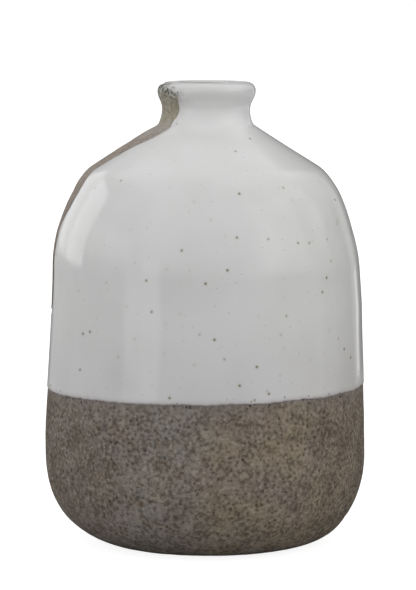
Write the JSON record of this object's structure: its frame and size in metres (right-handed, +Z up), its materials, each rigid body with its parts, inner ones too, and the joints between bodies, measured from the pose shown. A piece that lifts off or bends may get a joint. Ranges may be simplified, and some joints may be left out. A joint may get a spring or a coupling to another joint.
{
  "type": "bud vase",
  "caption": "Round-shouldered stoneware bud vase with a short flared neck, dipped in speckled white glaze over bare clay.",
  "frame": {"origin": "middle of the flat foot, on the surface that the vase stands on", "axes": "+Z up along the vase's own axis, out of the mouth; the bare strip in the glaze is on the -X side and -Y is the front"},
  "size_m": [0.112, 0.112, 0.16],
  "materials": {
    "bare_clay": "coarse matt grogged stoneware, fired grey-brown",
    "white_glaze": "soft gloss off-white with brown iron speckles",
    "liner_glaze": "gloss off-white liner"
  },
  "bodies": {
    "root": {"clay_floor": "bare_clay", "clay_wall": "bare_clay", "clay_shoulder": "bare_clay", "clay_neck": "bare_clay", "glaze_coat": "white_glaze", "glaze_liner": "liner_glaze"}
  },
  "joints": []
}
